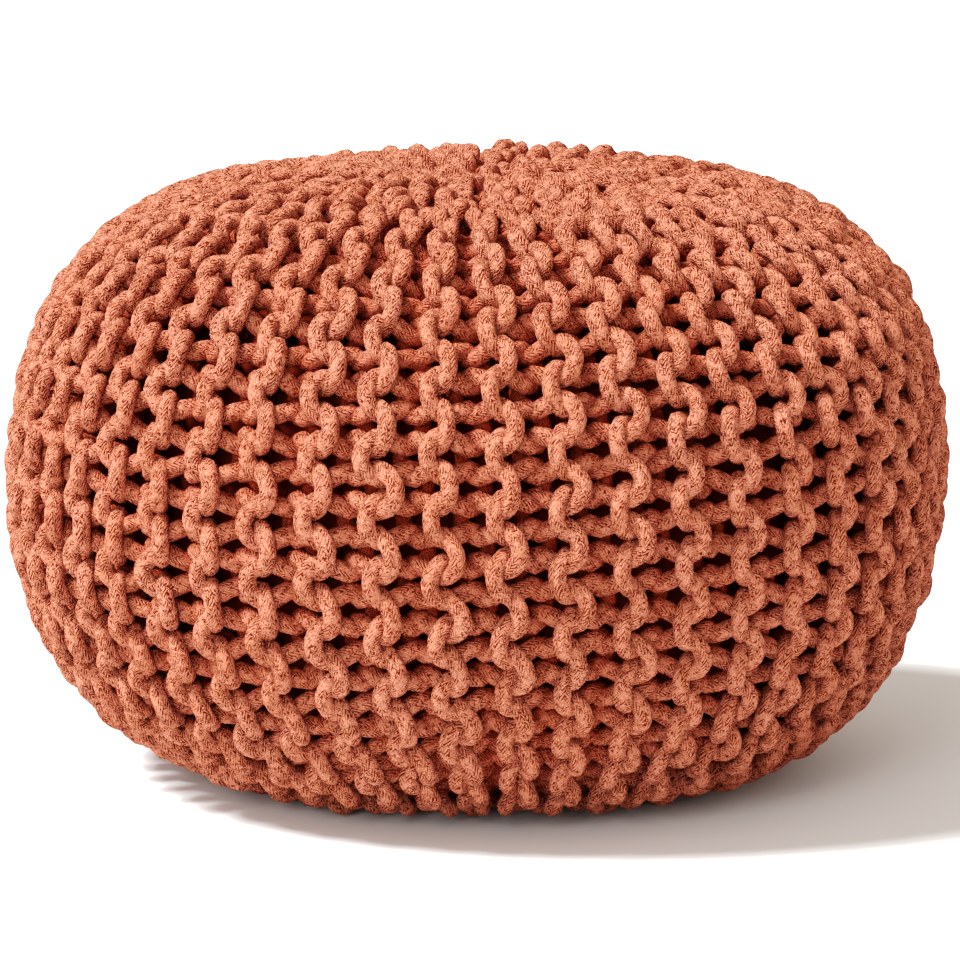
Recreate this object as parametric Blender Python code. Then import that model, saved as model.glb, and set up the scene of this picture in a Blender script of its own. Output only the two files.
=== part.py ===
"""Knitted pouf: a cover knitted from braided cotton cord, drawn shut over a filled inner bag.

Metres, +Z up. The origin is the middle of the base, which rests on the floor.
The cover is garter stitch turned on its side, so its ridges run from the base to the crown.
The cover is one closed skin with a small drawn opening in the crown, and the bag lies inside it.
"""

import math

import bpy

# Driving sizes
WIDTH = 0.500
HEIGHT = 0.327
WIDEST_HEIGHT = 0.157
BASE_FLAT_RADIUS = 0.080
COVER_THICKNESS = 0.027
PIECE_GAP = 0.0003

# Roundness of the outline, as powers of a superellipse: 2 is an ellipse and more is squarer
UPPER_OUT = 3.86
UPPER_UP = 2.39
LOWER_OUT = 3.10
LOWER_DOWN = 1.88

# Ridges of the knitting
RIDGES = 48
RIDGE_DEPTH = 0.009
RIDGE_FADE_RADIUS = 0.090

# Crown, where the cord is drawn tight
CROWN_OPENING_RADIUS = 0.008
CROWN_DIMPLE_DEPTH = 0.008
CROWN_DIMPLE_RADIUS = 0.035

# How the filled pouf has settled, as waves around it: (waves, share of the radius, turn in degrees)
SETTLED_WAVES = (
    (2, 0.0040, 35.0),
    (3, 0.0030, 140.0),
    (5, 0.0020, 250.0),
)
LEAN = 0.0022
LEAN_CENTRE_HEIGHT = 0.200

# Fineness of the faceted solids
OUTSIDE_RINGS = 26
INSIDE_RINGS = 20
OUTLINE_SAMPLES = 400

CORD_COLOUR = (0.62, 0.21, 0.115, 1.0)
CORD_ROUGHNESS = 0.95
BAG_COLOUR = (0.42, 0.075, 0.028, 1.0)
BAG_ROUGHNESS = 0.80


def clear_scene():
    for obj in list(bpy.data.objects):
        bpy.data.objects.remove(obj)


def cloth_material(name, colour, roughness):
    material = bpy.data.materials.new(name)
    material.use_nodes = True
    shader = material.node_tree.nodes["Principled BSDF"]
    shader.inputs["Base Color"].default_value = colour
    shader.inputs["Roughness"].default_value = roughness
    shader.inputs["Metallic"].default_value = 0.0
    return material


def outline(turn, inset):
    """Radius and height of the outline at a turn from -90 (edge of the base) to 90 degrees (crown)."""
    half_width = WIDTH / 2 - inset
    out = max(math.cos(math.radians(turn)), 0.0)
    up = abs(math.sin(math.radians(turn)))
    if turn < 0:
        base = BASE_FLAT_RADIUS
        radius = base + (half_width - base) * out ** (2 / LOWER_OUT)
        height = WIDEST_HEIGHT - (WIDEST_HEIGHT - inset) * up ** (2 / LOWER_DOWN)
    else:
        radius = half_width * out ** (2 / UPPER_OUT)
        height = WIDEST_HEIGHT + (HEIGHT - inset - WIDEST_HEIGHT) * up ** (2 / UPPER_UP)
    return radius, height


def dimpled(radius, height):
    """The height with the drawn centre of the crown pressed in."""
    if height < WIDEST_HEIGHT:
        return height
    return height - CROWN_DIMPLE_DEPTH * math.exp(-((radius / CROWN_DIMPLE_RADIUS) ** 2))


def settled(x, y, z):
    """A point moved as the filled pouf has settled: a little uneven around, and leaning a little."""
    around = math.atan2(y, x)
    swell = 1.0
    for waves, share, turn in SETTLED_WAVES:
        swell += share * math.cos(waves * around + math.radians(turn))
    shift = LEAN * math.sin(2 * math.pi * (z - LEAN_CENTRE_HEIGHT) / HEIGHT)
    return (x * swell + shift, y * swell, z)


def crown_turn(inset):
    """The turn at which the upper outline has drawn in to the crown's opening."""
    out = (CROWN_OPENING_RADIUS / (WIDTH / 2 - inset)) ** (UPPER_OUT / 2)
    return math.degrees(math.acos(out))


def even_turns(inset, rings):
    """Turns from the edge of the base to the crown's opening, evenly spaced along the outline."""
    sweep = crown_turn(inset) + 90.0
    samples = [sweep * i / OUTLINE_SAMPLES - 90.0 for i in range(OUTLINE_SAMPLES + 1)]
    places = [outline(turn, inset) for turn in samples]
    lengths = [0.0]
    for near, far in zip(places, places[1:]):
        lengths.append(lengths[-1] + math.dist(near, far))
    turns = []
    for i in range(rings):
        wanted = lengths[-1] * i / (rings - 1)
        nearest = min(range(len(samples)), key=lambda k: abs(lengths[k] - wanted))
        turns.append(samples[nearest])
    return turns


def ring(radius, height, count, ridge_depth=0.0):
    """Points around one ring. With a ridge depth, every second point lies in a furrow."""
    points = []
    for i in range(count):
        around = 2 * math.pi * i / count
        reach = radius - (ridge_depth if i % 2 else 0.0)
        points.append((reach * math.cos(around), reach * math.sin(around), height))
    return points


def ridge_depth_at(radius):
    """Full depth on the sides, fading towards the flat base and the drawn crown."""
    reach = (radius - BASE_FLAT_RADIUS) / RIDGE_FADE_RADIUS
    return RIDGE_DEPTH * min(max(reach, 0.0), 1.0)


def ridged_rings():
    rings = []
    for turn in even_turns(0.0, OUTSIDE_RINGS):
        radius, height = outline(turn, 0.0)
        rings.append(ring(radius, dimpled(radius, height), 2 * RIDGES, ridge_depth_at(radius)))
    return rings


def smooth_rings(inset):
    """Rings of the cover's inside, or of the bag a little further in, which share their turns."""
    rings = []
    for turn in even_turns(COVER_THICKNESS, INSIDE_RINGS):
        radius, height = outline(turn, inset)
        rings.append(ring(radius, dimpled(radius, height), RIDGES))
    return rings


def bridge(first, second):
    """Faces between two rings of point numbers. The first may have twice as many as the second."""
    faces = []
    count = len(second)
    if len(first) == count:
        for i in range(count):
            j = (i + 1) % count
            faces.append((first[i], first[j], second[j], second[i]))
        return faces
    for i in range(count):
        j = (i + 1) % count
        near = first[2 * i]
        middle = first[2 * i + 1]
        far = first[2 * j]
        faces.append((near, middle, second[i]))
        faces.append((middle, second[j], second[i]))
        faces.append((middle, far, second[j]))
    return faces


def closed_skin(name, rings, first_centre, last_centre, material):
    """One closed mesh through the rings in turn, with a point in the middle of each end."""
    points = [settled(*first_centre)]
    numbered = []
    for places in rings:
        numbered.append(list(range(len(points), len(points) + len(places))))
        points += [settled(*place) for place in places]
    points.append(settled(*last_centre))
    faces = []
    count = len(numbered[0])
    for i in range(count):
        faces.append((0, numbered[0][(i + 1) % count], numbered[0][i]))
    for first, second in zip(numbered, numbered[1:]):
        faces += bridge(first, second)
    last = len(points) - 1
    count = len(numbered[-1])
    for i in range(count):
        faces.append((last, numbered[-1][i], numbered[-1][(i + 1) % count]))
    mesh = bpy.data.meshes.new(name)
    mesh.from_pydata(points, [], faces)
    mesh.materials.append(material)
    mesh.update()
    obj = bpy.data.objects.new(name, mesh)
    bpy.context.scene.collection.objects.link(obj)
    return obj


def knitted_cover(material):
    """The ridged outside up to the crown's opening, then back down along the smooth inside."""
    rings = ridged_rings() + smooth_rings(COVER_THICKNESS)[::-1]
    base_centre = (0.0, 0.0, 0.0)
    inside_centre = (0.0, 0.0, COVER_THICKNESS)
    return closed_skin("knitted_cover", rings, base_centre, inside_centre, material)


def inner_bag(material):
    """The filled bag, a piece gap inside the cover all round and closed over at its top."""
    inset = COVER_THICKNESS + PIECE_GAP
    base_centre = (0.0, 0.0, inset)
    top_centre = (0.0, 0.0, dimpled(0.0, HEIGHT - inset))
    return closed_skin("inner_bag", smooth_rings(inset), base_centre, top_centre, material)


def centre_over_origin(objects):
    """Moves the pouf so that the middle of its outline lies over the origin."""
    corners = [vertex.co for obj in objects for vertex in obj.data.vertices]
    middle_x = (min(c.x for c in corners) + max(c.x for c in corners)) / 2
    middle_y = (min(c.y for c in corners) + max(c.y for c in corners)) / 2
    for obj in objects:
        for vertex in obj.data.vertices:
            vertex.co.x -= middle_x
            vertex.co.y -= middle_y


def build():
    clear_scene()
    cord = cloth_material("braided_cord", CORD_COLOUR, CORD_ROUGHNESS)
    bag_cloth = cloth_material("bag_cloth", BAG_COLOUR, BAG_ROUGHNESS)
    cover = knitted_cover(cord)
    bag = inner_bag(bag_cloth)
    centre_over_origin([cover, bag])


build()
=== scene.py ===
"""Looks of the knitted pouf: a cover knitted from braided cotton cord, over its filled inner bag.

Metres, +Z up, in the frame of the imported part. The cover is garter stitch turned on its side.
Each row of the knitting is one cord from the crown to the base, which swings between a ridge,
where its front loops lie, and the furrow beside it, where its back loops lie. Every ridge has
the front loops of two rows, and every furrow the back loops of two.
"""

import math

import bpy
import numpy as np
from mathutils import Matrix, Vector


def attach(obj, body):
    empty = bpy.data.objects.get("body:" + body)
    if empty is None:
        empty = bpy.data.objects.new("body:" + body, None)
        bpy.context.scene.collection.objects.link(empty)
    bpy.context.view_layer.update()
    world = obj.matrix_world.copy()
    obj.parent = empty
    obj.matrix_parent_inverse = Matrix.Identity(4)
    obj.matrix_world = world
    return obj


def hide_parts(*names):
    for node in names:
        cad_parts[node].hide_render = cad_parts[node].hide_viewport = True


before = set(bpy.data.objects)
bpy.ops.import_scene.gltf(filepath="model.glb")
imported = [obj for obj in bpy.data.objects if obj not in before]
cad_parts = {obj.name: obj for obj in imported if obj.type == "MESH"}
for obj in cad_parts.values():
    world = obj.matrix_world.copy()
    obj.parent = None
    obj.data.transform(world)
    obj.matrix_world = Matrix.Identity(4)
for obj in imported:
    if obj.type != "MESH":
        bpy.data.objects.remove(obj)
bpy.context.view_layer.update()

SEED = 1127
rng = np.random.default_rng(SEED)

# Outline of the filled cover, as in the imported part
WIDTH = 0.500
HEIGHT = 0.327
WIDEST_HEIGHT = 0.157
BASE_FLAT_RADIUS = 0.080
COVER_THICKNESS = 0.027
UPPER_OUT, UPPER_UP = 3.86, 2.39
LOWER_OUT, LOWER_DOWN = 3.10, 1.88
CROWN_DIMPLE_DEPTH, CROWN_DIMPLE_RADIUS = 0.008, 0.035
# How the filling has settled: waves around, share of the radius, turn in degrees
SETTLED_WAVES = (
    (2, 0.0040, 35.0),
    (3, 0.0030, 140.0),
    (5, 0.0020, 250.0),
)
LEAN, LEAN_CENTRE_HEIGHT = 0.0022, 0.200
OUTLINE_STEPS = 4001
MERIDIAN_STEPS = 1400
SMOOTHED_STEPS = 25

# Knitting: every second row starts behind at the crown, and the others in front
RIDGES = 48
ROWS = 2 * RIDGES
FROM_BACK = np.arange(ROWS) % 2 == 1
STITCHES = 21
CORD = 0.0091
ROWS_PER_PANEL = 6
FIRST_RIDGE_TURN = math.radians(-90 - 3.95)
RIDGE_TWIST = 0.20
STITCH_CLIMB = 0.0085
EDGE_LENGTH = 0.009
# Half the distance between a ridge's two loops: its limits, and its share of the room past a least one
LEAST_LOOP_APART, LOOP_APART = 0.0018, 0.0060
CLOSED_ROOM, APART_SHARE = 0.0125, 0.45
# Ridges are tight towards the centres, where the legs between them sink and the painted shade is deeper
TIGHT_RADIUS, LOOSE_RADIUS = 0.090, 0.225
TIGHT_SINK, TIGHT_PAINTED_SHADE = 0.50, 0.20

# Towards the centres every second ridge folds inwards, then every second one of the rest, and so on:
# the radius where each fold starts, the radius where it is whole, and its depth
START, END, DEPTH = range(3)
FOLDS = (
    (0.150, 0.100, 0.009),
    (0.062, 0.038, 0.010),
    (0.036, 0.018, 0.011),
)
# The depth changes over the middle of the way from one ridge to the next
FOLD_STEEPNESS, FOLD_OFFSET = 1.8, 0.4

# A quarter of a stitch, from the middle of a front loop to the middle of the leg that leads back. Across
# is a share of the ridge spacing, along a share of a stitch, out is in cords, girth a share of the cord.
ACROSS, ALONG, OUT, GIRTH = range(4)
QUARTER = (
    (-0.208, 0.500, 1.08, 1.00),
    (-0.196, 0.388, 1.01, 1.00),
    (-0.156, 0.296, 0.90, 1.00),
    (-0.088, 0.226, 0.70, 1.02),
    (0.000, 0.172, 0.41, 1.05),
    (0.105, 0.162, 0.14, 1.08),
    (0.250, 0.250, 0.02, 1.08),
)

# Unevenness from loop to loop, in the units of the table above, and as a share for swing and girth
UNEVEN_ALONG = 0.034
UNEVEN_SWING = 0.07
UNEVEN_ACROSS = 0.024
UNEVEN_OUT = 0.08
UNEVEN_GIRTH = 0.03
# Slow unevenness over the whole cover: how many waves and their size in metres or radians, then the
# limits of each wave's turns around and of its radians for each metre along
LENGTH_FIELD = (8, 0.0018)
OUT_FIELD = (8, 0.0009)
TURN_FIELD = (6, 0.004)
FIELD_TURNS = (1, 9)
FIELD_PITCHES = (4.0, 26.0)

# Tubes of cord: samples of each stitch in front and behind, sides, and lumps as a share of the radius
FRONT_SAMPLES = 15
BACK_SAMPLES = 9
SIDES = 10
LUMPS = 0.032
# How far each sample moves to the middle of its neighbours, and the lowest centre line, in radii
RELAXED_SHARE = 0.3
RESTING_SHARE = 0.97

# Unrolled map of a panel, as shares of a strip or of the map
STRIPS_PER_ROW = 3
STRIP_START, STRIP_LENGTH = 0.01, 0.97
STRIP_TOP, STRIP_BREADTH = 0.95, 0.9
CAP_PLACE, CAP_LENGTH, CAP_BREADTH = 0.992, 0.004, 0.07

# Braid of the cord
CHEVRONS_AROUND = 6
YARN_PITCH = 0.0021
CHEVRON_SLANT = 1.45
WANDER_AROUND, WANDER_ALONG = 0.9, 1.6
YARN_FULLNESS, COLUMN_FULLNESS = 0.36, 0.30
COLUMN_SHARE = 0.4
FIBRE_RELIEF, TUFT_RELIEF = 0.50, 0.70
CORD_RELIEF = 0.0035
# Shares of the tufts in the painted shade of the creases, and of the fibres in the painted highlight of the
# yarn tops
TUFT_SHADE_SHARE, FIBRE_HIGHLIGHT_SHARE = 0.60, 1.5

# Noises: scale, detail, roughness
WANDER_NOISE = (330.0, 2.0, 0.5)
CREASE_NOISE = (260.0, 2.0, 0.6)
FIBRE_NOISE = (1700.0, 3.0, 0.65)
TUFT_NOISE = (640.0, 3.0, 0.6)
PATCH_NOISE = (26.0, 2.0, 0.5)
FLECK_NOISE = (1100.0, 2.0, 0.7)
THREAD_NOISE = (1300.0, 2.0, 0.6)
BAG_FOLD_NOISE = (55.0, 2.0, 0.5)

# Ranges: where each starts, where it is full, and its share then. The crevice and furrow ranges place painted
# shade, and the tip range a painted highlight
SHUT_CREASES = (0.38, 0.64, 0.78)
CREVICE_SHADE_TO_YARN = (0.74, 1.02, 1.0)
TIP_HIGHLIGHTS = (1.55, 1.95, 0.34)
PATCHES = (0.25, 0.75, 0.22)
FLECKS = (0.56, 0.64, 0.72)
FURROW_SHADE_RANGE = (-0.75, 0.75, 0.92)
BAG_FOLDS = (0.3, 0.7, 0.5)
BAG_THREADS = (0.35, 0.7, 0.20)

# Colours of the cord: its own colours, with painted shade for the creases and furrows and a painted highlight
# for the yarn tops
CREVICE_PAINTED_SHADE = (0.110, 0.005, 0.001, 1)
YARN_COLOUR = (0.712, 0.209, 0.127, 1)
TIP_HIGHLIGHT_COLOUR = (0.950, 0.550, 0.440, 1)
PATCH_COLOUR = (0.540, 0.105, 0.042, 1)
FLECK_COLOUR = (0.200, 0.012, 0.002, 1)
FURROW_PAINTED_SHADE = (0.360, 0.032, 0.009, 1)
SHEEN_COLOUR = (1.0, 0.40, 0.20, 1)
CORD_FINISH = {
    "Roughness": 0.92,
    "Specular IOR Level": 0.02,
    "Sheen Weight": 0.06,
    "Sheen Roughness": 0.35,
    "Sheen Tint": SHEEN_COLOUR,
}

# Inner bag: red cloth, its colours darkened as painted shade for the holes it shows through
BAG_CLEARANCE = 0.0015
BAG_RINGS, BAG_AROUND = 60, 96
BAG_COLOUR_IN_PAINTED_SHADE = (0.092, 0.010, 0.004, 1)
BAG_FOLD_COLOUR = (0.058, 0.006, 0.002, 1)
BAG_THREAD_COLOUR = (0.140, 0.018, 0.007, 1)
BAG_THREAD_RELIEF, BAG_RELIEF = 0.12, 0.0018
BAG_FINISH = {"Roughness": 0.9, "Specular IOR Level": 0.02}

# Camera
CAMERA_DISTANCE = 3.0
CAMERA_ELEVATION = math.radians(10)
LENS, SENSOR_WIDTH = 210.5, 36.0
AIM_RIGHT, AIM_DOWN = 0.0005, 0.0083

# Response of the camera: linear light in, and what it makes of it
CAMERA_RESPONSE = (
    (0.013, 0.0085),
    (0.050, 0.046),
    (0.160, 0.200),
    (0.400, 0.480),
    (0.750, 0.755),
    (0.950, 0.885),
)

# Studio
FLOOR_REACH = 9
FLOOR_FINISH = {"Base Color": (0.82, 0.82, 0.82, 1), "Roughness": 0.9}
SURROUND_COLOUR, SURROUND_STRENGTH = (1, 0.90, 0.80, 1), 0.66
LIT_PLACE = (0, 0, 0.16)
KEY_PLACE, KEY_STRENGTH, KEY_ANGLE = (-1.56, -0.48, 2.4), 8.15, math.radians(15)
FRONT_PLACE, FRONT_POWER, FRONT_SIZE = (-1.0, -3.0, 1.1), 54, 1.4


def eased(share):
    """Shares from 0 to 1, with a soft start and end."""
    return share * share * (3 - 2 * share)


def outline(turn, inset):
    """Radius and height of the outline at a turn in degrees: -90 at the flat base's edge, 90 at the crown."""
    half_width = WIDTH / 2 - inset
    out = np.clip(np.cos(np.radians(turn)), 0.0, 1.0)
    up = np.abs(np.sin(np.radians(turn)))
    low = turn < 0
    radius = np.where(
        low,
        BASE_FLAT_RADIUS + (half_width - BASE_FLAT_RADIUS) * out ** (2 / LOWER_OUT),
        half_width * out ** (2 / UPPER_OUT),
    )
    height = np.where(
        low,
        WIDEST_HEIGHT - (WIDEST_HEIGHT - inset) * up ** (2 / LOWER_DOWN),
        WIDEST_HEIGHT + (HEIGHT - inset - WIDEST_HEIGHT) * up ** (2 / UPPER_UP),
    )
    dip = CROWN_DIMPLE_DEPTH * np.exp(-((radius / CROWN_DIMPLE_RADIUS) ** 2))
    return radius, height - np.where(low, 0.0, dip)


class Meridian:
    """The outline at one inset, by its length from the centre of the crown to the centre of the base."""

    def __init__(self, inset):
        turn = np.linspace(90.0, -90.0, OUTLINE_STEPS)
        radius, height = outline(turn, inset)
        radius = np.append(radius, 0.0)
        height = np.append(height, inset)
        steps = np.hypot(np.diff(radius), np.diff(height))
        length = np.concatenate([[0.0], np.cumsum(steps)])
        self.total = length[-1]
        self.length = np.linspace(0.0, self.total, MERIDIAN_STEPS)
        self.radius = np.interp(self.length, length, radius)
        self.height = np.interp(self.length, length, height)
        slope_r = self.smoothed_slope(self.radius)
        slope_z = self.smoothed_slope(self.height)
        size = np.hypot(slope_r, slope_z)
        self.out_r = -slope_z / size
        self.out_z = slope_r / size

    def smoothed_slope(self, values):
        kernel = np.ones(SMOOTHED_STEPS) / SMOOTHED_STEPS
        return np.convolve(
            np.pad(np.gradient(values, self.length), SMOOTHED_STEPS // 2, "edge"), kernel, "valid"
        )

    def at(self, length):
        """Radius, height, and the two parts of the direction outwards."""
        return [
            np.interp(length, self.length, table)
            for table in (self.radius, self.height, self.out_r, self.out_z)
        ]


def settled(points):
    """Points moved as the filled pouf has settled."""
    x, y, z = points[..., 0], points[..., 1], points[..., 2]
    around = np.arctan2(y, x)
    swell = np.ones_like(x)
    for waves, share, turn in SETTLED_WAVES:
        swell = swell + share * np.cos(waves * around + math.radians(turn))
    shift = LEAN * np.sin(2 * math.pi * (z - LEAN_CENTRE_HEIGHT) / HEIGHT)
    return np.stack([x * swell + shift, y * swell, z], axis=-1)


def smooth_field(around, along, waves, size):
    """A smooth uneven field over the cover, mostly between -size and size."""
    total = np.zeros(np.broadcast(around, along).shape)
    for _ in range(waves):
        turns = rng.integers(*FIELD_TURNS)
        pitch = rng.uniform(*FIELD_PITCHES)
        total += np.sin(turns * around + pitch * along + rng.uniform(0, 2 * math.pi))
    return size * total / math.sqrt(waves)


def catmull_rom(points, at):
    """Points of shape (rows, places, columns), read at the fractional places in at."""
    base = np.floor(at).astype(int)
    t = (at - base)[None, :, None]
    a, b, c, d = (points[:, base + step] for step in (-1, 0, 1, 2))
    return 0.5 * (2 * b + (c - a) * t + (2 * a - 5 * b + 4 * c - d) * t**2 + (3 * b - a - 3 * c + d) * t**3)


def folding(radius, fold):
    """How far a fold has come at a radius, from 0 to 1."""
    return eased(np.clip((fold[START] - radius) / (fold[START] - fold[END]), 0, 1))


def sink_depth(ridge, radius):
    """How deep the folds have taken the knitting, at places counted in ridges around the pouf."""
    low = np.floor(ridge).astype(int)
    t = eased(np.clip(FOLD_STEEPNESS * (ridge - low) - FOLD_OFFSET, 0, 1))
    depth = 0.0
    for level, fold in enumerate(FOLDS):
        group = 2 ** (level + 1)
        sunk = [(low + step) % RIDGES % group == group // 2 for step in (0, 1)]
        depth = depth + fold[DEPTH] * folding(radius, fold) * (sunk[0] * (1 - t) + sunk[1] * t)
    return depth


def whole_stitch():
    """The places of one stitch of a row that starts in front, from one front loop to the next."""
    quarter = np.array(QUARTER)
    upside_down = (1, -1, 1, 1)
    first = quarter * upside_down
    second = np.column_stack(
        [0.5 - quarter[:, ACROSS], quarter[:, ALONG] - 0.5, -quarter[:, OUT], quarter[:, GIRTH]]
    )
    half = np.vstack([first, second[::-1][1:]])
    back = half[::-1] * upside_down
    return np.vstack([half, back[1:]])[:-1]


def places_of_rows():
    """The places of every row, with a stitch to spare at both ends, and how many a stitch has."""
    places = whole_stitch()
    count = len(places)
    numbers = np.arange(-count, (STITCHES + 1) * count + 1)
    table = np.repeat(places[numbers % count][None], ROWS, axis=0)
    # Along is now counted in stitches from the crown
    table[:, :, ALONG] += numbers // count + 0.5
    table[FROM_BACK, :, OUT] *= -1

    # Uneven as handwork is, with one value for each front and back loop
    at = 2 * (numbers - numbers[0]) / count
    low = np.floor(at).astype(int)
    ease = eased(at - low)

    def uneven(size):
        values = rng.normal(0.0, size, (ROWS, low[-1] + 2))
        return values[:, low] * (1 - ease) + values[:, low + 1] * ease

    table[:, :, ALONG] += uneven(UNEVEN_ALONG)
    table[:, :, ACROSS] *= 1.0 + uneven(UNEVEN_SWING)
    table[:, :, ACROSS] += uneven(UNEVEN_ACROSS)
    table[:, :, OUT] += uneven(UNEVEN_OUT)
    table[:, :, GIRTH] *= 1.0 + uneven(UNEVEN_GIRTH)
    return table, count


def sampled_rows(table, count):
    """Every row read from its places, at samples that are finer in front, where the cord shows."""
    front = np.linspace(-count / 4, count / 4, FRONT_SAMPLES, endpoint=False)
    behind = np.linspace(count / 4, 3 * count / 4, BACK_SAMPLES, endpoint=False)
    pattern = np.concatenate([front, behind])
    stitch = np.arange(STITCHES)[:, None] * count
    sampled = []
    for chosen, start in ((~FROM_BACK, 0), (FROM_BACK, count / 2)):
        where = (stitch + np.sort((pattern + start) % count)[None]).ravel()
        where = np.append(where, STITCHES * count) + count
        sampled.append(catmull_rom(table[chosen], where))
    return np.stack(sampled, axis=1).reshape(ROWS, -1, table.shape[2])


def beside_ridge(across, spacing, radius):
    """Metres sideways: loops draw together with their ridge, and spread where others have sunk."""
    room = spacing * (1 + sum(2**level * folding(radius, fold) for level, fold in enumerate(FOLDS)))
    apart = np.clip(APART_SHARE * (room - CLOSED_ROOM), LEAST_LOOP_APART, LOOP_APART)
    middle = -QUARTER[0][ACROSS]
    swing = np.clip(np.sin(4 * math.pi * across) / math.sin(4 * math.pi * middle), -1, 1)
    return across * spacing + (apart - middle * spacing) * swing


def rows_of_knitting(meridian):
    """Every row's centre line, girth, depth below the ridges for the painted shade, and direction outwards,
    by row and sample.
    """
    sampled = sampled_rows(*places_of_rows())
    ridge = np.arange(ROWS)[:, None] / 2
    around = 2 * math.pi * ridge / RIDGES
    share = sampled[:, :, ALONG] / STITCHES
    climb = STITCH_CLIMB * np.sin(around) * np.sin(math.pi * share)
    knitted = meridian.total - 2 * EDGE_LENGTH
    length = EDGE_LENGTH + knitted * share - climb
    length += smooth_field(around, length, *LENGTH_FIELD)
    radius, height, out_r, out_z = meridian.at(np.clip(length, 0.0, meridian.total))
    spacing = 2 * math.pi * radius / RIDGES
    sideways = beside_ridge(sampled[:, :, ACROSS], spacing, radius)

    loose = np.clip((radius - TIGHT_RADIUS) / (LOOSE_RADIUS - TIGHT_RADIUS), 0, 1)
    sunk = TIGHT_SINK * (1 - loose) * (1 - np.clip(sampled[:, :, OUT], -1, 1) ** 2)
    out = (sampled[:, :, OUT] - sunk) * CORD
    out -= sink_depth(ridge + sideways / spacing, radius)
    out += smooth_field(around, length, *OUT_FIELD)
    around = FIRST_RIDGE_TURN + around + smooth_field(around, length, *TURN_FIELD)
    around += RIDGE_TWIST * (share - 0.5)

    from_axis = radius + out * out_r
    x = from_axis * np.cos(around) - sideways * np.sin(around)
    y = from_axis * np.sin(around) + sideways * np.cos(around)
    z = height + out * out_z
    girth = sampled[:, :, GIRTH] * CORD / 2
    points = settled(np.stack([x, y, z], axis=-1))
    points[:, 1:-1] += RELAXED_SHARE * ((points[:, :-2] + points[:, 2:]) / 2 - points[:, 1:-1])
    points[..., 2] = np.maximum(points[..., 2], girth * RESTING_SHARE)
    outward = np.stack([out_r * np.cos(around), out_r * np.sin(around), out_z], axis=-1)
    # Depth below the ridges, deepened towards the centres, which the material paints as shade
    depth = TIGHT_PAINTED_SHADE * (1 - loose) * CORD - out
    return points, girth, depth, outward


def carried_frames(points):
    """Two directions across each line at each point, carried along it without twisting."""
    along = np.gradient(points, axis=1)
    along /= np.linalg.norm(along, axis=2, keepdims=True)
    first = np.zeros_like(points)
    start = np.cross(along[:, 0], (0.0, 0.0, 1.0))
    # A line that starts upright has no level direction across it, and still needs one
    start += 1e-6
    first[:, 0] = start / np.linalg.norm(start, axis=1, keepdims=True)
    for i in range(1, points.shape[1]):
        side = first[:, i - 1]
        side = side - along[:, i] * np.sum(side * along[:, i], axis=1, keepdims=True)
        first[:, i] = side / np.linalg.norm(side, axis=1, keepdims=True)
    return first, np.cross(along, first)


def cord_skin(points, girth, depth, outward):
    """Points of slightly lumpy tubes around the lines, and how far inwards each lies, in cords, which sets
    the painted shade.
    """
    first, second = carried_frames(points)
    turn = 2 * math.pi * np.arange(SIDES) / SIDES
    ring = (
        first[:, :, None] * np.cos(turn)[None, None, :, None]
        + second[:, :, None] * np.sin(turn)[None, None, :, None]
    )
    lumps = 1 + rng.normal(0.0, LUMPS, (*girth.shape, SIDES, 1)).clip(-2 * LUMPS, 2 * LUMPS)
    skin = points[:, :, None] + girth[:, :, None, None] * lumps * ring
    skin[..., 2] = np.maximum(skin[..., 2], 0.0)
    inward = (depth[..., None] - girth[..., None] * np.sum(ring * outward[:, :, None], axis=3)) / CORD
    return skin, inward


def cord_faces(rows, count):
    """Corners and sizes of the tubes' faces: the quads along them, then the caps at both ends."""
    number = np.arange(rows * count * SIDES).reshape(rows, count, SIDES)
    here = number[:, :-1]
    there = number[:, 1:]
    quads = np.stack([here, np.roll(here, -1, 2), np.roll(there, -1, 2), there], axis=-1).reshape(-1, 4)
    caps = np.concatenate([number[:, 0, ::-1], number[:, -1]])
    corners = np.concatenate([quads.ravel(), caps.ravel()])
    sizes = np.concatenate([np.full(len(quads), 4), np.full(len(caps), SIDES)])
    return corners, sizes


def quad_corners(ends, sides, lengthwise=False):
    """Map corners of every quad: sides to the right and ends up, or the other way round if lengthwise."""
    start, end = ends
    left, right = sides
    if lengthwise:
        corners = [start, left, start, right, end, right, end, left]
    else:
        corners = [left, start, right, start, right, end, left, end]
    return np.stack(np.broadcast_arrays(*corners), axis=-1).reshape(-1)


def braid_map(along):
    """The braid's map: shares of a turn around the cord, and metres along it."""
    side = np.arange(SIDES + 1) / SIDES
    ends = along[:, :-1, None], along[:, 1:, None]
    quads = quad_corners(ends, (side[:-1], side[1:]))
    cap = np.stack([side[:-1], np.zeros(SIDES)], axis=-1).ravel()
    return np.concatenate([quads, np.tile(cap, 2 * len(along))])


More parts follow.
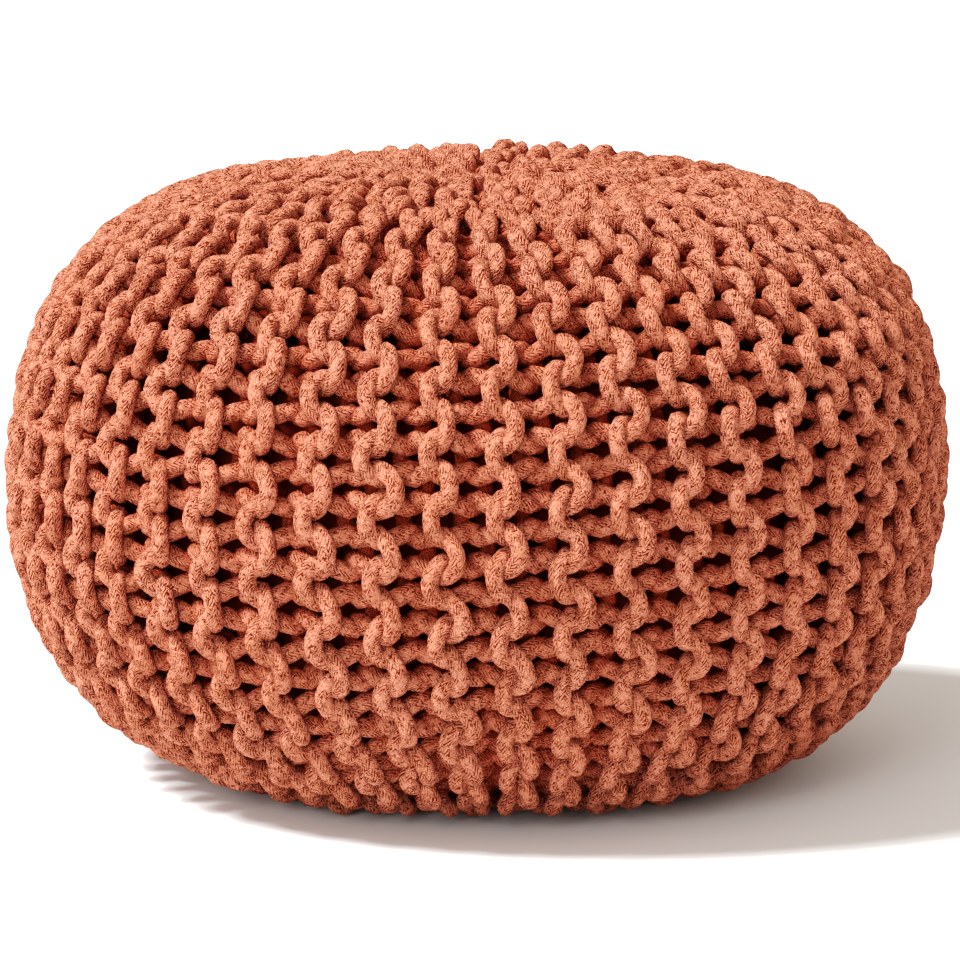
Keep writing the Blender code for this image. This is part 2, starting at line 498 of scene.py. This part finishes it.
def unrolled_map(along):
    """A map without overlaps: each row cut into strips, the strips side by side, and the caps past them."""
    rows, count = along.shape
    strips = rows * STRIPS_PER_ROW
    cuts = np.linspace(0, count - 1, STRIPS_PER_ROW + 1).astype(int)
    strip = np.searchsorted(cuts, np.arange(count - 1), side="right") - 1
    strip = np.clip(strip, 0, STRIPS_PER_ROW - 1)
    begin = along[:, cuts[strip]]
    scale = STRIP_LENGTH / (along[:, cuts[1:]] - along[:, cuts[:-1]]).max()
    ends = [STRIP_START + scale * (place - begin)[..., None] for place in (along[:, :-1], along[:, 1:])]
    first_lane = np.arange(rows) * STRIPS_PER_ROW
    lane = (first_lane[:, None] + strip)[..., None]
    side = np.arange(SIDES + 1) / SIDES
    level = (lane + STRIP_TOP - STRIP_BREADTH * side) / strips
    quads = quad_corners(ends, (level[..., :-1], level[..., 1:]), lengthwise=True)

    turn = 2 * math.pi * np.arange(SIDES) / SIDES
    cap_lane = np.concatenate([first_lane, first_lane + STRIPS_PER_ROW - 1])[:, None]
    cap_u = CAP_PLACE + CAP_LENGTH * np.cos(turn)[None] + 0 * cap_lane
    cap_v = (cap_lane + 0.5 + CAP_BREADTH * np.sin(turn)[None]) / strips
    return np.concatenate([quads, np.stack([cap_u, cap_v], axis=-1).ravel()])


def linked(name, data):
    """A new object for the data, in the scene."""
    obj = bpy.data.objects.new(name, data)
    bpy.context.scene.collection.objects.link(obj)
    return obj


def knit_panel(name, points, girth, depth, outward, material):
    """One panel: a tube of cord along each line, with both maps and the depth that the material paints as
    shade.
    """
    rows, count = girth.shape
    skin, inward = cord_skin(points, girth, depth, outward)
    corners, sizes = cord_faces(rows, count)
    starts = np.concatenate([[0], np.cumsum(sizes)[:-1]])
    mesh = bpy.data.meshes.new(name)
    mesh.vertices.add(skin.size // 3)
    mesh.vertices.foreach_set("co", skin.astype(np.float32).ravel())
    mesh.loops.add(len(corners))
    mesh.loops.foreach_set("vertex_index", corners.astype(np.int32))
    mesh.polygons.add(len(sizes))
    mesh.polygons.foreach_set("loop_start", starts.astype(np.int32))
    mesh.polygons.foreach_set("use_smooth", np.ones(len(sizes), bool))
    mesh.update(calc_edges=True)
    # How far inwards each point lies, which the material paints as shade
    inward_values = mesh.attributes.new("Inward", "FLOAT", "POINT").data
    inward_values.foreach_set("value", inward.astype(np.float32).ravel())
    steps = np.linalg.norm(np.diff(points, axis=1), axis=2)
    along = np.concatenate([np.zeros((rows, 1)), np.cumsum(steps, axis=1)], axis=1)
    for map_name, corner_places in (("Braid", braid_map(along)), ("OFBake", unrolled_map(along))):
        layer = mesh.uv_layers.new(name=map_name)
        layer.data.foreach_set("uv", corner_places.astype(np.float32))
    mesh.uv_layers["Braid"].active_render = True
    mesh.materials.append(material)
    mesh.validate()
    return linked(name, mesh)


def bag_rings():
    """Points of the bag by ring and place around, drawn in where the folded knitting needs the room."""
    meridian = Meridian(COVER_THICKNESS + BAG_CLEARANCE)
    length = np.linspace(0.0, meridian.total, BAG_RINGS + 1)[1:-1]
    radius, height, out_r, out_z = meridian.at(length)
    around = 2 * math.pi * np.arange(BAG_AROUND) / BAG_AROUND
    drawn = sum(fold[DEPTH] * folding(radius, fold) for fold in FOLDS)
    from_axis = radius - drawn * out_r
    x = from_axis[:, None] * np.cos(around)
    y = from_axis[:, None] * np.sin(around)
    z = (height - drawn * out_z)[:, None] + 0 * x
    return np.stack([x, y, z], axis=-1)


def filled_bag(material):
    """The bag as one closed form: its rings, and a point in the middle of the top and of the bottom."""
    rings = bag_rings()
    points = settled(rings).reshape(-1, 3)
    top = settled(np.array([[0.0, 0.0, rings[0, :, 2].mean()]]))
    bottom = settled(np.array([[0.0, 0.0, rings[-1, :, 2].mean()]]))
    count = BAG_AROUND
    faces = []
    for i in range(len(rings) - 1):
        for j in range(count):
            k = (j + 1) % count
            faces.append((i * count + j, (i + 1) * count + j, (i + 1) * count + k, i * count + k))
    last = (len(rings) - 1) * count
    for j in range(count):
        k = (j + 1) % count
        faces.append((len(points), j, k))
        faces.append((len(points) + 1, last + k, last + j))
    mesh = bpy.data.meshes.new("filled_bag")
    mesh.from_pydata(np.vstack([points, top, bottom]).tolist(), [], faces)
    mesh.polygons.foreach_set("use_smooth", np.ones(len(mesh.polygons), bool))
    mesh.materials.append(material)
    mesh.update()
    return linked("filled_bag", mesh)


class Graph:
    """Short names for building a material's nodes."""

    def __init__(self, name):
        self.material = bpy.data.materials.new(name)
        self.material.use_nodes = True
        self.tree = self.material.node_tree
        self.shader = self.tree.nodes["Principled BSDF"]

    def node(self, kind, inputs=(), **settings):
        made = self.tree.nodes.new("ShaderNode" + kind)
        for key, value in settings.items():
            setattr(made, key, value)
        for key, value in dict(inputs).items():
            self.feed(made.inputs[key], value)
        return made

    def feed(self, socket, value):
        if isinstance(value, bpy.types.NodeSocket):
            self.tree.links.new(value, socket)
        else:
            socket.default_value = value

    def surface(self, values):
        for key, value in values.items():
            self.feed(self.shader.inputs[key], value)

    def math(self, operation, *values):
        return self.node("Math", dict(enumerate(values)), operation=operation).outputs[0]

    def wave(self, turns):
        """Half of one minus the cosine of the turns."""
        angle = self.math("MULTIPLY", turns, 2 * math.pi)
        return self.math("MULTIPLY_ADD", self.math("COSINE", angle), -0.5, 0.5)

    def noise(self, place, scale, detail, roughness):
        inputs = {"Vector": place, "Scale": scale, "Detail": detail, "Roughness": roughness}
        return self.node("TexNoise", inputs).outputs["Fac"]

    def between(self, value, start, full, share):
        """A share that grows smoothly from nothing at the start to all of it where the value is full."""
        inputs = {"Value": value, "From Min": start, "From Max": full, "To Min": 0.0, "To Max": share}
        return self.node("MapRange", inputs, interpolation_type="SMOOTHSTEP").outputs["Result"]

    def mix(self, share, first, second):
        made = self.node("Mix", data_type="RGBA")
        factor, colour_a, colour_b = made.inputs[0], made.inputs[6], made.inputs[7]
        self.feed(factor, share)
        self.feed(colour_a, first)
        self.feed(colour_b, second)
        return made.outputs[2]

    def bump(self, height, distance):
        made = self.node("Bump", {"Height": height, "Distance": distance, "Strength": 1.0})
        self.feed(self.shader.inputs["Normal"], made.outputs["Normal"])


def braided_strands(graph, place):
    """Height of the yarns, from 0 in the creases to 1: slanting yarns that meet in chevrons."""
    braid = graph.node("SeparateXYZ", {0: graph.node("UVMap", uv_map="Braid").outputs["UV"]})
    wander = graph.math("SUBTRACT", graph.noise(place, *WANDER_NOISE), 0.5)
    around = graph.math("MULTIPLY", braid.outputs["X"], CHEVRONS_AROUND)
    around = graph.math("MULTIPLY_ADD", wander, WANDER_AROUND, around)
    chevron = graph.math("PINGPONG", around, 0.5)
    along = graph.math("DIVIDE", braid.outputs["Y"], YARN_PITCH)
    along = graph.math("MULTIPLY_ADD", chevron, 2 * CHEVRON_SLANT, along)
    along = graph.math("MULTIPLY_ADD", wander, WANDER_ALONG, along)
    yarns = graph.math("POWER", graph.wave(along), YARN_FULLNESS)
    columns = graph.math("POWER", graph.wave(graph.math("MULTIPLY", around, 2.0)), COLUMN_FULLNESS)
    columns = graph.math("MULTIPLY_ADD", columns, COLUMN_SHARE, 1 - COLUMN_SHARE)
    strands = graph.math("MULTIPLY", columns, yarns)
    # Some creases lie open and others are pressed shut
    shut = graph.between(graph.noise(place, *CREASE_NOISE), *SHUT_CREASES)
    return graph.math("ADD", strands, graph.math("MULTIPLY", shut, graph.math("SUBTRACT", 1.0, strands)))


def cord_look():
    """Braided cotton cord, with loose fibres, dark flecks, painted shade in its creases and furrows, and
    painted highlights on the yarn tops.
    """
    graph = Graph("braided_cord_look")
    place = graph.node("TexCoord").outputs["Object"]
    strands = braided_strands(graph, place)
    fibres = graph.noise(place, *FIBRE_NOISE)
    tufts = graph.noise(place, *TUFT_NOISE)
    height = graph.math("MULTIPLY_ADD", fibres, FIBRE_RELIEF, strands)
    height = graph.math("MULTIPLY_ADD", tufts, TUFT_RELIEF, height)
    graph.bump(height, CORD_RELIEF)

    # Painted shade: dark colour in the creases between the yarns
    crevice_shade = graph.between(graph.math("MULTIPLY_ADD", tufts, TUFT_SHADE_SHARE, strands), *CREVICE_SHADE_TO_YARN)
    colour = graph.mix(crevice_shade, CREVICE_PAINTED_SHADE, YARN_COLOUR)
    # Painted highlight: paler colour on the tops of the yarns and their fibres
    tip_highlights = graph.between(graph.math("MULTIPLY_ADD", fibres, FIBRE_HIGHLIGHT_SHARE, strands), *TIP_HIGHLIGHTS)
    colour = graph.mix(tip_highlights, colour, TIP_HIGHLIGHT_COLOUR)
    patches = graph.between(graph.noise(place, *PATCH_NOISE), *PATCHES)
    colour = graph.mix(patches, colour, PATCH_COLOUR)
    flecks = graph.between(graph.noise(place, *FLECK_NOISE), *FLECKS)
    colour = graph.mix(flecks, colour, FLECK_COLOUR)
    # Painted shade: darker, redder colour the further inwards a place lies, in the furrows and on the cords'
    # inner sides
    inward = graph.node("Attribute", attribute_name="Inward").outputs["Fac"]
    colour = graph.mix(graph.between(inward, *FURROW_SHADE_RANGE), colour, FURROW_PAINTED_SHADE)
    graph.surface({"Base Color": colour, **CORD_FINISH})
    return graph.material


def bag_look():
    """Plain woven cotton of the inner bag, its red darkened with painted shade."""
    graph = Graph("bag_cloth_look")
    place = graph.node("TexCoord").outputs["Object"]
    threads = graph.noise(place, *THREAD_NOISE)
    folds = graph.noise(place, *BAG_FOLD_NOISE)
    graph.bump(graph.math("MULTIPLY_ADD", threads, BAG_THREAD_RELIEF, folds), BAG_RELIEF)
    # The cloth's colours, darkened as painted shade for the holes the bag is seen through
    colour = graph.mix(graph.between(folds, *BAG_FOLDS), BAG_COLOUR_IN_PAINTED_SHADE, BAG_FOLD_COLOUR)
    colour = graph.mix(graph.between(threads, *BAG_THREADS), colour, BAG_THREAD_COLOUR)
    graph.surface({"Base Color": colour, **BAG_FINISH})
    return graph.material


def face(obj, place):
    """Turn a light or camera to look at a place."""
    obj.rotation_euler = (Vector(place) - obj.location).to_track_quat("-Z", "Y").to_euler()


def camera():
    middle = HEIGHT / 2
    data = bpy.data.cameras.new("camera")
    data.lens = LENS
    data.sensor_width = SENSOR_WIDTH
    obj = linked("camera", data)
    level = CAMERA_DISTANCE * math.cos(CAMERA_ELEVATION)
    obj.location = (0.0, -level, middle + CAMERA_DISTANCE * math.sin(CAMERA_ELEVATION))
    face(obj, (AIM_RIGHT, 0.0, middle - AIM_DOWN))
    bpy.context.scene.camera = obj


def light(name, kind, place, power, **settings):
    data = bpy.data.lights.new(name, kind)
    data.energy = power
    for key, value in settings.items():
        setattr(data, key, value)
    obj = linked(name, data)
    obj.location = place
    face(obj, LIT_PLACE)


def pale_floor():
    paint = Graph("floor_paint")
    paint.surface(FLOOR_FINISH)
    mesh = bpy.data.meshes.new("floor")
    corners = [(FLOOR_REACH * x, FLOOR_REACH * y, 0) for x, y in ((-1, -1), (1, -1), (1, 1), (-1, 1))]
    mesh.from_pydata(corners, [], [(0, 1, 2, 3)])
    mesh.materials.append(paint.material)
    return linked("floor", mesh)


def surround():
    world = bpy.data.worlds.new("studio")
    world.use_nodes = True
    background = world.node_tree.nodes["Background"]
    background.inputs["Color"].default_value = SURROUND_COLOUR
    background.inputs["Strength"].default_value = SURROUND_STRENGTH
    bpy.context.scene.world = world


def camera_response():
    view = bpy.context.scene.view_settings
    view.view_transform = "Standard"
    view.use_curve_mapping = True
    all_channels = view.curve_mapping.curves[3]
    for light_in, shown in CAMERA_RESPONSE:
        all_channels.points.new(light_in, shown)
    view.curve_mapping.update()


camera()
floor = pale_floor()
surround()
camera_response()
light("key", "SUN", KEY_PLACE, KEY_STRENGTH, angle=KEY_ANGLE)
light("front", "AREA", FRONT_PLACE, FRONT_POWER, size=FRONT_SIZE)
cord_material = cord_look()
bag_material = bag_look()

knitting = rows_of_knitting(Meridian(COVER_THICKNESS / 2))
for panel in range(ROWS // ROWS_PER_PANEL):
    rows = slice(panel * ROWS_PER_PANEL, (panel + 1) * ROWS_PER_PANEL)
    piece = knit_panel(f"knit_panel_{panel + 1:02d}", *(values[rows] for values in knitting), cord_material)
    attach(piece, "root")
    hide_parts("knitted_cover")

bag = filled_bag(bag_material)
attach(bag, "root")
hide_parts("inner_bag")
